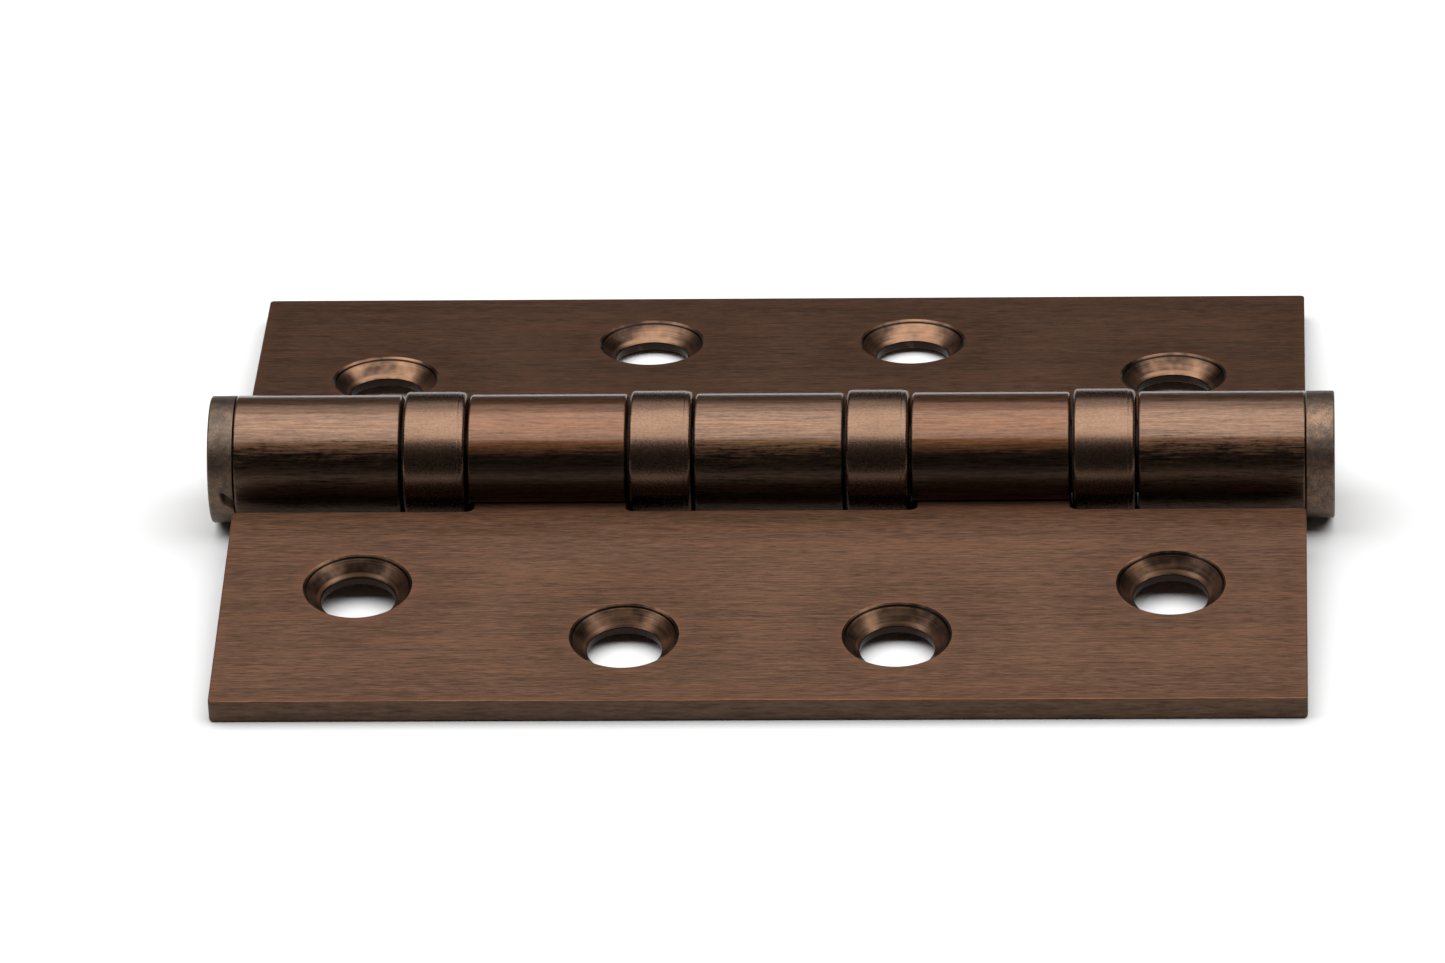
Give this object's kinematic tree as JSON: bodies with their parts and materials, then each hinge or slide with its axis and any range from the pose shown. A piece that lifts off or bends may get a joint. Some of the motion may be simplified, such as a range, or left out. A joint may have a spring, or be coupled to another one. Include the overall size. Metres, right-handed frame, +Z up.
{
  "type": "butt hinge",
  "caption": "Ball-bearing butt hinge with square-cornered leaves, countersunk screw holes and a flat-capped pin, lying open.",
  "frame": {"origin": "on the surface that the hinge lies on, below the middle of the pin", "axes": "+X along the pin, +Y from the pin towards the frame leaf, +Z up, out of the countersunk faces"},
  "size_m": [0.107, 0.0758, 0.0126],
  "materials": {
    "leaf_finish": "steel with a brushed antique bronze plating, fine lines along the pin",
    "sleeve_finish": "drawn steel with a satin antique bronze plating",
    "cap_finish": "steel with a mottled antique bronze plating",
    "pin_steel": "ground steel, bare",
    "race_steel": "hardened and ground steel",
    "cage_brass": "pressed brass",
    "ball_steel": "polished bearing steel"
  },
  "bodies": {
    "frame_side": {"frame_leaf": "leaf_finish", "hinge_pin": "pin_steel", "end_cap_left": "cap_finish", "end_cap_right": "cap_finish", "bearing_2_sleeve": "sleeve_finish", "bearing_2_seated_race": "race_steel", "bearing_4_sleeve": "sleeve_finish", "bearing_4_seated_race": "race_steel", "bearing_1_running_race": "race_steel", "bearing_3_running_race": "race_steel"},
    "door_side": {"door_leaf": "leaf_finish", "bearing_1_sleeve": "sleeve_finish", "bearing_1_seated_race": "race_steel", "bearing_3_sleeve": "sleeve_finish", "bearing_3_seated_race": "race_steel", "bearing_2_running_race": "race_steel", "bearing_4_running_race": "race_steel"},
    "bearing_1_balls": {"bearing_1_cage": "cage_brass", "bearing_1_ball_1": "ball_steel", "bearing_1_ball_2": "ball_steel", "bearing_1_ball_3": "ball_steel", "bearing_1_ball_4": "ball_steel", "bearing_1_ball_5": "ball_steel", "bearing_1_ball_6": "ball_steel", "bearing_1_ball_7": "ball_steel", "bearing_1_ball_8": "ball_steel"},
    "bearing_2_balls": {"bearing_2_cage": "cage_brass", "bearing_2_ball_1": "ball_steel", "bearing_2_ball_2": "ball_steel", "bearing_2_ball_3": "ball_steel", "bearing_2_ball_4": "ball_steel", "bearing_2_ball_5": "ball_steel", "bearing_2_ball_6": "ball_steel", "bearing_2_ball_7": "ball_steel", "bearing_2_ball_8": "ball_steel"},
    "bearing_3_balls": {"bearing_3_cage": "cage_brass", "bearing_3_ball_1": "ball_steel", "bearing_3_ball_2": "ball_steel", "bearing_3_ball_3": "ball_steel", "bearing_3_ball_4": "ball_steel", "bearing_3_ball_5": "ball_steel", "bearing_3_ball_6": "ball_steel", "bearing_3_ball_7": "ball_steel", "bearing_3_ball_8": "ball_steel"},
    "bearing_4_balls": {"bearing_4_cage": "cage_brass", "bearing_4_ball_1": "ball_steel", "bearing_4_ball_2": "ball_steel", "bearing_4_ball_3": "ball_steel", "bearing_4_ball_4": "ball_steel", "bearing_4_ball_5": "ball_steel", "bearing_4_ball_6": "ball_steel", "bearing_4_ball_7": "ball_steel", "bearing_4_ball_8": "ball_steel"}
  },
  "joints": [
    {"name": "leaf_hinge", "type": "hinge", "parent": "frame_side", "child": "door_side", "pos_m": [0, 0, 0.00632], "axis": [-1, 0, 0], "range_deg": [-80, 189.51]},
    {"name": "bearing_1_roll", "type": "hinge", "parent": "frame_side", "child": "bearing_1_balls", "pos_m": [0, 0, 0.00632], "axis": [-1, 0, 0], "range_deg": [-41, 96]},
    {"name": "bearing_2_roll", "type": "hinge", "parent": "frame_side", "child": "bearing_2_balls", "pos_m": [0, 0, 0.00632], "axis": [-1, 0, 0], "range_deg": [-41, 96]},
    {"name": "bearing_3_roll", "type": "hinge", "parent": "frame_side", "child": "bearing_3_balls", "pos_m": [0, 0, 0.00632], "axis": [-1, 0, 0], "range_deg": [-41, 96]},
    {"name": "bearing_4_roll", "type": "hinge", "parent": "frame_side", "child": "bearing_4_balls", "pos_m": [0, 0, 0.00632], "axis": [-1, 0, 0], "range_deg": [-41, 96]}
  ],
  "couplings": [
    {"joint": "bearing_1_roll", "follows": "leaf_hinge", "ratio": 0.5},
    {"joint": "bearing_2_roll", "follows": "leaf_hinge", "ratio": 0.5},
    {"joint": "bearing_3_roll", "follows": "leaf_hinge", "ratio": 0.5},
    {"joint": "bearing_4_roll", "follows": "leaf_hinge", "ratio": 0.5}
  ]
}
